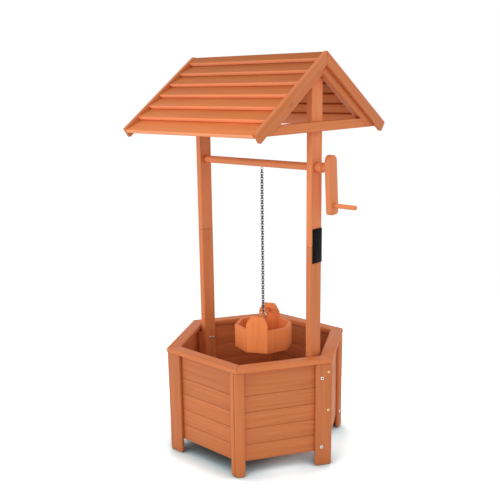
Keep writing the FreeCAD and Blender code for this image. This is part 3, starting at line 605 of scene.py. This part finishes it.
def new_tree(name, inputs):
    """A geometry node tree with its own input and output nodes."""
    tree = bpy.data.node_groups.new(name, "GeometryNodeTree")
    tree.interface.new_socket("Geometry", in_out="INPUT", socket_type="NodeSocketGeometry")
    for label, kind in inputs:
        tree.interface.new_socket(label, in_out="INPUT", socket_type=kind)
    tree.interface.new_socket("Geometry", in_out="OUTPUT", socket_type="NodeSocketGeometry")
    start = tree.nodes.new("NodeGroupInput")
    end = tree.nodes.new("NodeGroupOutput")
    return tree, start, end


def applied(item, tree, values):
    """Run a node tree on an object and give back its plain mesh."""
    modifier = item.modifiers.new("make", "NODES")
    modifier.node_group = tree
    for socket in tree.interface.items_tree:
        if socket.item_type == "SOCKET" and socket.in_out == "INPUT" and socket.name in values:
            modifier[socket.identifier] = values[socket.name]
    bpy.context.view_layer.update()
    shown = item.evaluated_get(bpy.context.evaluated_depsgraph_get())
    mesh = bpy.data.meshes.new_from_object(shown)
    item.modifiers.remove(modifier)
    bpy.data.objects.remove(item)
    return mesh


def place_instances(tree, end, points, instance, rotation, finish):
    """Set an instance on each point, make them all real and give them their material."""
    placed = add_node(tree, "GeometryNodeInstanceOnPoints",
                      links=[(points, "Points"), (instance, "Instance"), (rotation, "Rotation")])
    solid = add_node(tree, "GeometryNodeRealizeInstances", links=[(placed, 0)])
    paint = add_node(tree, "GeometryNodeSetMaterial", links=[(solid, 0)],
                     in_Material=material_of(finish))
    tree.links.new(paint.outputs[0], end.inputs[0])


# Groups of pieces

WALLS = ("front", "front_right", "back_right", "back", "back_left", "front_left")


class WELL_OT_walls(bpy.types.Operator):
    """Six walls of five stacked boards with their legs"""
    bl_idname = "well.walls"
    bl_label = "Base walls"

    def execute(self, context):
        for wall in WALLS:
            timber_piece("wall_%s_boards" % wall, radius=0.0005, seams=True)
            for side in ("left", "right"):
                # this leg shows the joint line of the corner that faces the camera, as a groove
                # with painted shade at its bottom
                grooved = (wall, side) == ("front", "right")
                timber_piece("wall_%s_leg_%s" % (wall, side), radius=0.002,
                             foot=context.scene.well_timber.foot_radius,
                             groove=0.0138 if grooved else 0.0)
        return {"FINISHED"}


class WELL_OT_rim(bpy.types.Operator):
    """Six mitred rim boards"""
    bl_idname = "well.rim"
    bl_label = "Rim"

    def execute(self, context):
        for wall in WALLS:
            timber_piece("rim_" + wall, radius=0.0012)
        return {"FINISHED"}


class WELL_OT_inside(bpy.types.Operator):
    """Slatted floor, its cleats and the wedge blocks behind the posts"""
    bl_idname = "well.inside"
    bl_label = "Floor and blocks"

    def execute(self, context):
        for node in ("floor_slats", "floor_cleats", "post_block_right", "post_block_left"):
            timber_piece(node)
        return {"FINISHED"}


class WELL_OT_posts(bpy.types.Operator):
    """Two posts in two lengths each"""
    bl_idname = "well.posts"
    bl_label = "Posts"

    def execute(self, context):
        for node in ("post_lower_right", "post_upper_right", "post_lower_left", "post_upper_left"):
            timber_piece(node, along=UP, radius=0.0014, level=1.1,
                         pale=0.04 if "lower" in node else 0.15)
        return {"FINISHED"}


class WELL_OT_roof(bpy.types.Operator):
    """Rafters, tie beams, bargeboards and the boards of both slopes"""
    bl_idname = "well.roof"
    bl_label = "Roof"

    def execute(self, context):
        for side in ("right", "left"):
            timber_piece("tie_beam_" + side)
            for end in ("front", "back"):
                timber_piece("rafter_%s_%s" % (side, end))
                timber_piece("bargeboard_%s_%s" % (side, end))
        for end in ("front", "back"):
            # the roof boards carry painted shade across each board and up the roof, and a painted
            # highlight on their lips
            timber_piece("roof_boards_" + end, along=RIGHT, radius=0.0011, level=-1.5,
                         shade_up_each_board=0.5, shade_up_the_roof=3.2, lip_highlight=0.9, gloss=0.2, joint_shade=0.0)
        return {"FINISHED"}


class WELL_OT_windlass(bpy.types.Operator):
    """Turned axle and collar, crank arm and grip"""
    bl_idname = "well.windlass"
    bl_label = "Windlass"

    def execute(self, context):
        for node in ("axle", "axle_collar", "crank_grip"):
            timber_piece(node, along=RIGHT, radius=0.0005, level=1.6, pale=0.20)
        lean = math.radians(4)
        timber_piece("crank_arm", along=Vector((0, -math.sin(lean), math.cos(lean))),
                     radius=0.0025, level=0.9, pale=0.16)
        return {"FINISHED"}


class WELL_OT_bucket(bpy.types.Operator):
    """Eight staves, two of them ears, with the floor and the handle dowel"""
    bl_idname = "well.bucket"
    bl_label = "Bucket"

    def execute(self, context):
        for node in ("bucket_staves", "bucket_ear_front", "bucket_ear_back"):
            timber_piece(node, along=UP, radius=0.0012, level=2.8, figure=0.25, gloss=0.5)
        timber_piece("bucket_floor", along=RIGHT)
        timber_piece("bucket_handle", along=handle_axis(), radius=0.0004)
        return {"FINISHED"}


def link_outline(curve, straight, bends=6):
    """One closed link as a loop of edges: two half circles and the straights between them."""
    mesh = bpy.data.meshes.new("one_link_path")
    points = []
    for end in (1, -1):
        for step in range(bends + 1):
            angle = math.pi * step / bends
            across, up = curve * math.cos(angle), straight + curve * math.sin(angle)
            points.append((across * end, 0, up * end))
    mesh.from_pydata(points, [(k, (k + 1) % len(points)) for k in range(len(points))], [])
    return mesh


def chain_tree(straight):
    """Sweeps the wire along a link's outline and hangs the links in a row, each a quarter
    turn from the one above."""
    tree, start, end = new_tree("chain_of_links", [
        ("Links", "NodeSocketInt"), ("Pitch", "NodeSocketFloat"), ("Wire", "NodeSocketFloat"),
        ("Top", "NodeSocketVector"), ("Turn", "NodeSocketFloat")])
    outline = add_node(tree, "GeometryNodeMeshToCurve", links=[(start.outputs["Geometry"], 0)])
    thin = add_node(tree, "ShaderNodeMath", links=[(start.outputs["Wire"], 0)],
                    operation="MULTIPLY", in_1=0.5)
    section = add_node(tree, "GeometryNodeCurvePrimitiveCircle", links=[(thin, "Radius")],
                       in_Resolution=8)
    wire = add_node(tree, "GeometryNodeCurveToMesh", links=[(outline, 0), (section, 1)])
    # both ends of a link are darker, where the links meet: dirt and painted shade
    place = add_node(tree, "GeometryNodeInputPosition")
    parts = add_node(tree, "ShaderNodeSeparateXYZ", links=[(place, 0)])
    height = add_node(tree, "ShaderNodeMath", links=[(parts.outputs[2], 0)], operation="ABSOLUTE")
    dirt_shade_part = add_node(tree, "ShaderNodeMapRange", links=[(height, 0)],
                      in_1=straight * 0.9, in_2=straight * 1.5, in_4=0.9)
    marked = add_node(tree, "GeometryNodeStoreNamedAttribute", data_type="FLOAT", domain="POINT",
                      links=[(wire, 0), (dirt_shade_part, "Value")], in_Name="grime")
    smooth = add_node(tree, "GeometryNodeSetShadeSmooth", links=[(marked, 0)])
    down = add_node(tree, "ShaderNodeMath", links=[(start.outputs["Pitch"], 0)],
                    operation="MULTIPLY", in_1=-1.0)
    offset = add_node(tree, "ShaderNodeCombineXYZ", links=[(down, 2)])
    row = add_node(tree, "GeometryNodeMeshLine", mode="OFFSET", links=[
        (start.outputs["Links"], "Count"), (start.outputs["Top"], "Start Location"),
        (offset, "Offset")])
    number = add_node(tree, "GeometryNodeInputIndex")
    quarter = add_node(tree, "ShaderNodeMath", operation="MULTIPLY_ADD", in_1=math.pi / 2,
                       links=[(number, 0), (start.outputs["Turn"], 2)])
    turn = add_node(tree, "ShaderNodeCombineXYZ", links=[(quarter, 2)])
    # every second link, turned edge-on to the camera, is painted darker: painted shade
    odd = add_node(tree, "ShaderNodeMath", links=[(number, 0)], operation="MODULO", in_1=2.0)
    painted_link_shade = add_node(tree, "ShaderNodeMapRange", links=[(odd, 0)], in_3=0.85, in_4=0.0)
    link_shade_marked = add_node(tree, "GeometryNodeStoreNamedAttribute", data_type="FLOAT", domain="POINT",
                       links=[(row, 0), (painted_link_shade, "Value")], in_Name="painted_link_shade")
    place_instances(tree, end, link_shade_marked, smooth, turn, "zinc")
    return tree


class WELL_OT_chain(bpy.types.Operator):
    """Closed round wire links, each a quarter turn from the one above"""
    bl_idname = "well.chain"
    bl_label = "Chain, eye and ring"

    def execute(self, context):
        size = context.scene.well_chain
        axis = handle_axis()
        low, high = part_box("chain")
        low, high = Vector(low), Vector(high)
        middle = (low + high) / 2
        length = high.z - low.z
        pitch = (length - 2 * size.seat_wire - size.play) / size.link_count
        inner = pitch + size.play
        curve = (size.link_width - size.wire) / 2
        straight = (inner + size.wire) / 2 - curve
        path = bpy.data.objects.new("chain_path", link_outline(curve, straight))
        context.scene.collection.objects.link(path)
        mesh = applied(path, chain_tree(straight), {
            "Links": size.link_count, "Pitch": pitch, "Wire": size.wire,
            "Top": Vector((middle.x, middle.y, high.z - size.seat_wire - inner / 2)),
            "Turn": math.atan2(axis.y, axis.x)})
        mesh.name = "chain_links"
        piece = metal_piece("chain_links", mesh, "zinc", "well", ["chain"])
        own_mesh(piece)

        wire = 0.0024
        low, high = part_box("bucket_ring")
        reach = (high[2] - low[2]) / 2
        twisted = Matrix.Rotation(size.ring_twist, 3, "Z") @ axis
        ring = wire_ring(box_middle("bucket_ring"), twisted, reach - wire / 2, wire)
        metal_piece("bucket_ring_wire", finished_mesh(ring, "bucket_ring_wire", 60),
                    "yellow zinc", "hanger", ["bucket_ring"])

        eye_radius, shank_radius = 0.0045, 0.00125
        low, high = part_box("screw_eye")
        middle = box_middle("screw_eye")
        centre = Vector((middle.x, middle.y, low[2] + eye_radius + wire / 2))
        eye = wire_ring(centre, axis, eye_radius, wire, around=32)
        shank_low = centre.z + eye_radius
        bmesh.ops.create_cone(
            eye, cap_ends=True, segments=16, radius1=shank_radius, radius2=shank_radius,
            depth=high[2] - shank_low,
            matrix=Matrix.Translation((middle.x, middle.y, (high[2] + shank_low) / 2)))
        metal_piece("screw_eye_wire", finished_mesh(eye, "screw_eye_wire", 60),
                    "zinc", "windlass", ["screw_eye"])
        return {"FINISHED"}


def head_shape(name, radius, height, recess, socket):
    """A domed head with a six sided socket or a cross in its top."""
    around = 24
    wide = socket * radius
    sixth, quarter = math.pi / 3, math.pi / 2
    edit = bmesh.new()
    grime = edit.verts.layers.float.new("grime")

    def recess_radius(angle):
        if recess == "socket":
            return wide * math.cos(sixth / 2) / math.cos((angle + sixth / 2) % sixth - sixth / 2)
        part = abs((angle + quarter / 2) % quarter - quarter / 2)
        half_arm, beyond_arm = math.radians(15), math.radians(16)
        if part < beyond_arm:
            return wide / math.cos(part)
        return wide * math.tan(half_arm) / math.sin(part)

    # the dome from its foot to its rim, in parts of the radius and height, then the recess
    # from its mouth to its bottom
    levels = [(lambda angle, out=out: radius * out, height * up) for out, up in (
        (1.0, 0.0), (1.0, 0.45), (0.93, 0.78), (0.76, 1.0))]
    levels += [(recess_radius, height), (recess_radius, height * 0.25)]
    turns = [2 * math.pi * index / around for index in range(around)]
    rows = [[edit.verts.new((size(angle) * math.cos(angle), size(angle) * math.sin(angle), up))
             for angle in turns] for size, up in levels]
    # the recess darkens towards its bottom: dirt and painted shade
    for row, darkening in ((rows[-1], 0.9), (rows[-2], 0.15)):
        for vertex in row:
            vertex[grime] = darkening
    for low, high in zip(rows, rows[1:]):
        for index in range(around):
            after = (index + 1) % around
            edit.faces.new((low[index], low[after], high[after], high[index]))
    edit.faces.new(rows[-1])
    edit.faces.new(list(reversed(rows[0])))
    bmesh.ops.recalc_face_normals(edit, faces=edit.faces)
    bmesh.ops.triangulate(edit, faces=[face for face in edit.faces if len(face.verts) > 4])
    return finished_mesh(edit, name, 35)


def head_seats(node):
    """Foot, direction, radius and height of every head in a CAD node of fixings."""
    edit = cad_mesh(node)
    seats = []
    for group in loose_parts(edit):
        middle = middle_of(group)
        faces = [face for vertex in group for face in vertex.link_faces]
        facing = max(faces, key=lambda face: round(face.calc_area(), 9)).normal.copy()
        if facing.dot(middle) < 0:
            facing.negate()
        if node == "wall_bolts" and abs(facing.x) > 0.99:
            # the bolts through the posts face the middle of the well
            facing.negate()
        height = 2 * max(abs((v.co - middle).dot(facing)) for v in group)
        radius = max(((v.co - middle) - facing * (v.co - middle).dot(facing)).length for v in group)
        seats.append((middle - facing * height / 2, facing, radius, height))
    edit.free()
    return seats


def heads_tree(name, finish):
    """Sets a head on each seat, square to its face and turned by chance."""
    tree, start, end = new_tree(name, [("Head", "NodeSocketObject"), ("Seed", "NodeSocketInt")])
    head = add_node(tree, "GeometryNodeObjectInfo", links=[(start.outputs["Head"], 0)])
    away = add_node(tree, "GeometryNodeInputNamedAttribute", data_type="FLOAT_VECTOR",
                    in_Name="facing")
    aim = add_node(tree, "FunctionNodeAlignRotationToVector", axis="Z",
                   links=[(away.outputs["Attribute"], "Vector")])
    chance = add_node(tree, "FunctionNodeRandomValue", data_type="FLOAT",
                      links=[(start.outputs["Seed"], "Seed")])
    angle = add_node(tree, "ShaderNodeMath", links=[(chance.outputs[1], 0)],
                     operation="MULTIPLY", in_1=math.pi)
    twist = add_node(tree, "ShaderNodeCombineXYZ", links=[(angle, 2)])
    spin = add_node(tree, "FunctionNodeEulerToRotation", links=[(twist, 0)])
    turn = add_node(tree, "FunctionNodeRotateRotation", rotation_space="LOCAL",
                    links=[(aim, 0), (spin, 1)])
    place_instances(tree, end, start, head.outputs["Geometry"], turn, finish)
    return tree


class WELL_OT_fixings(bpy.types.Operator):
    """Joining plates, bolt heads and screw heads"""
    bl_idname = "well.fixings"
    bl_label = "Fixings"

    def execute(self, context):
        just_inside = 0.995
        for node, finish, slot, recess, socket in (
                ("wall_bolts", "zinc", "zinc_steel", "socket", 0.50),
                ("wall_screws", "brass", "brass", "cross", 0.55),
                ("plate_screws", "black", "black_steel", "cross", 0.55)):
            seats = head_seats(node)
            radius, height = seats[0][2:]
            shape = bpy.data.objects.new(node + "_shape", head_shape(
                node + "_shape", radius * just_inside, height, recess, socket))
            context.scene.collection.objects.link(shape)
            spots = bpy.data.meshes.new(node + "_seats")
            spots.from_pydata([seat[0] for seat in seats], [], [])
            facing = spots.attributes.new("facing", "FLOAT_VECTOR", "POINT")
            for index, seat in enumerate(seats):
                facing.data[index].vector = seat[1]
            points = bpy.data.objects.new(node + "_seats", spots)
            context.scene.collection.objects.link(points)
            mesh = applied(points, heads_tree(node + "_heads", finish), {"Head": shape, "Seed": 3})
            bpy.data.objects.remove(shape)
            mesh.name = node + "_set"
            metal_piece(node + "_set", mesh, finish, "well", [node])

        plates = cad_mesh("joining_plates")
        ease_edges(plates, 0.0004)
        metal_piece("joining_plates_coated", finished_mesh(plates, "joining_plates_coated", 40),
                    "black", "well", ["joining_plates"])
        return {"FINISHED"}


def white_sky(scene, level):
    """Even light from all round, and a white background for the rays that see it."""
    world = bpy.data.worlds.new("studio_sky")
    scene.world = world
    world.use_nodes = True
    tree = world.node_tree
    tree.nodes.clear()
    strength = add_node(tree, "ShaderNodeMapRange", links=[(seen_directly(tree), 0)], in_3=level)
    sky = add_node(tree, "ShaderNodeBackground", links=[(strength, "Strength")],
                   in_Color=(1, 1, 1, 1))
    add_node(tree, "ShaderNodeOutputWorld", links=[(sky, 0)])


def white_paper(sky_level):
    """Matt paper: the camera sees it as white where most of the sky reaches it, lifted over its
    real shade beside the base (painted light), and dark close under the base and wherever the
    object is near (painted shadow); a little blue green offsets the red that the timber throws on
    it."""
    material, tree = new_material("matt_white_paper")
    bounced = 0.80
    seen = seen_directly(tree)
    place = add_node(tree, "ShaderNodeTexCoord")
    apart = add_node(tree, "ShaderNodeVectorMath", links=[(place.outputs["Object"], 0)],
                     operation="LENGTH")
    # what the camera sees, summed over three bands of distance from the middle: beside the base and
    # further out, lifted over the real shade (painted light), the far floor, and the floor under
    # the base, darkened (painted shadow)
    gain = None
    for inner, outer, here, beyond in ((0.45, 0.80, 1.95, 1.18), (1.0, 2.2, 0.0, -0.16),
                                       (0.10, 0.25, -0.85, 0.0)):
        band = add_node(tree, "ShaderNodeMapRange", interpolation_type="SMOOTHSTEP",
                        links=[(apart.outputs["Value"], 0)],
                        in_1=inner, in_2=outer, in_3=here / sky_level, in_4=beyond / sky_level)
        gain = band if gain is None else add_node(
            tree, "ShaderNodeMath", links=[(gain, 0), (band, 1)], operation="ADD")
    level = add_node(tree, "ShaderNodeMapRange", links=[(seen, 0), (gain, 4)], in_3=bounced)
    # painted shadow: the paper is darkened where the object comes within 0.12 m, on top of its real
    # shadow
    near = add_node(tree, "ShaderNodeAmbientOcclusion", samples=16, in_Distance=0.12)
    painted_contact_shadow = add_node(tree, "ShaderNodeMath", links=[(near.outputs["AO"], 0)],
                       operation="POWER", in_1=1.30)
    white = add_node(tree, "ShaderNodeMath", links=[(level, 0), (painted_contact_shadow, 1)], operation="MULTIPLY")
    balance = add_node(tree, "ShaderNodeValToRGB", links=[(near.outputs["AO"], 0)],
                       stops=((0.1, (0.59, 0.925, 1.0, 1)), (0.9, (0.86, 0.975, 1.0, 1))))
    close = add_node(tree, "ShaderNodeMapRange", links=[(apart.outputs["Value"], 0)],
                     in_1=0.50, in_2=1.10, in_3=1.0, in_4=0.0)
    both = add_node(tree, "ShaderNodeMath", links=[(seen, 0), (close, 1)], operation="MULTIPLY")
    balanced = add_node(tree, "ShaderNodeMix", data_type="RGBA", in_6=(1.0, 1.0, 1.0, 1.0),
                        links=[(both, 0), (balance, 7)])
    tint = add_node(tree, "ShaderNodeVectorMath", operation="MULTIPLY",
                    links=[(white, 0), (balanced.outputs[2], 1)])
    paper = add_node(tree, "ShaderNodeBsdfDiffuse", links=[(tint, "Color")])
    add_node(tree, "ShaderNodeOutputMaterial", links=[(paper, 0)])
    return material


def heading(turn, rise):
    """The direction at that turn about the vertical and that rise above the ground."""
    flat = math.cos(rise)
    return Vector((math.cos(turn) * flat, math.sin(turn) * flat, math.sin(rise)))


def soft_suns(scene, light, floor):
    """Wide soft lamps. They leave the floor to the sky, so it keeps only the soft shadow
    round the feet."""
    unlit = bpy.data.collections.new("sky_lit_only")
    unlit.objects.link(floor)
    unlit.collection_objects[0].light_linking.link_state = "EXCLUDE"
    for name, level, turn, rise in (("key_lamp", light.key_level, -118.0, 6.0),
                                    ("fill_lamp", light.fill_level, -40.0, 10.0)):
        lamp = bpy.data.lights.new(name, "SUN")
        lamp.energy = level
        lamp.angle = math.radians(40.0)
        item = bpy.data.objects.new(name, lamp)
        toward = heading(math.radians(turn), math.radians(rise))
        item.location = toward * 4
        item.rotation_euler = toward.to_track_quat("Z", "Y").to_euler()
        item.light_linking.receiver_collection = unlit
        scene.collection.objects.link(item)


def photograph_camera(scene):
    """The camera that was fitted to the photograph."""
    place = (1.5174, -1.6810, 1.0853)
    yaw, pitch, roll = (math.radians(angle) for angle in (44.484, -14.332, -1.2466))
    ahead = heading(yaw + math.pi / 2, pitch)
    side = Vector((math.cos(yaw), math.sin(yaw), 0))
    up = side.cross(ahead)
    right = side * math.cos(roll) + up * math.sin(roll)
    over = up * math.cos(roll) - side * math.sin(roll)
    lens = bpy.data.cameras.new("photograph_lens")
    lens.sensor_width = 36.0
    lens.lens = 56.51
    lens.shift_x = 0.0504
    lens.shift_y = 0.0601
    lens.clip_start = 0.05
    camera = bpy.data.objects.new("photograph_camera", lens)
    rows = [(right[k], over[k], -ahead[k], place[k]) for k in range(3)]
    camera.matrix_world = Matrix(rows + [(0, 0, 0, 1)])
    scene.collection.objects.link(camera)
    scene.camera = camera


class WELL_OT_studio(bpy.types.Operator):
    """Pale floor, white backdrop, soft lamps and the camera"""
    bl_idname = "well.studio"
    bl_label = "Studio"

    def execute(self, context):
        scene = context.scene
        light = scene.well_studio
        scene.view_settings.view_transform = "Standard"
        white_sky(scene, light.sky_level)
        reach = 30.0
        mesh = bpy.data.meshes.new("studio_floor")
        corners = [(-reach, -reach, 0), (reach, -reach, 0), (reach, reach, 0), (-reach, reach, 0)]
        mesh.from_pydata(corners, [], [(0, 1, 2, 3)])
        floor = link_object("studio_floor", mesh, white_paper(light.sky_level))
        soft_suns(scene, light, floor)
        photograph_camera(scene)
        return {"FINISHED"}


OPERATORS = (
    WELL_OT_walls, WELL_OT_rim, WELL_OT_inside, WELL_OT_posts, WELL_OT_roof, WELL_OT_windlass,
    WELL_OT_bucket, WELL_OT_chain, WELL_OT_fixings, WELL_OT_studio,
)


class WELL_PT_sidebar(bpy.types.Panel):
    """Lists the pieces of the wishing well planter"""
    bl_idname = "WELL_PT_sidebar"
    bl_label = "Wishing Well Planter"
    bl_space_type = "VIEW_3D"
    bl_region_type = "UI"
    bl_category = "Wishing Well"

    def draw(self, context):
        scene = context.scene
        for settings in (scene.well_timber, scene.well_chain, scene.well_studio):
            box = self.layout.box()
            for name in settings.bl_rna.properties.keys():
                if name not in ("rna_type", "name"):
                    box.prop(settings, name)
        for operator in OPERATORS:
            self.layout.operator(operator.bl_idname)


CLASSES = (TimberSettings, ChainSettings, StudioSettings) + OPERATORS + (WELL_PT_sidebar,)


def register():
    for item in CLASSES:
        bpy.utils.register_class(item)
    bpy.types.Scene.well_timber = PointerProperty(type=TimberSettings)
    bpy.types.Scene.well_chain = PointerProperty(type=ChainSettings)
    bpy.types.Scene.well_studio = PointerProperty(type=StudioSettings)


def unregister():
    del bpy.types.Scene.well_studio
    del bpy.types.Scene.well_chain
    del bpy.types.Scene.well_timber
    for item in reversed(CLASSES):
        bpy.utils.unregister_class(item)


def main():
    register()
    for operator in OPERATORS:
        group, name = operator.bl_idname.split(".")
        getattr(getattr(bpy.ops, group), name)()
    bpy.context.view_layer.update()


if __name__ == "__main__":
    main()
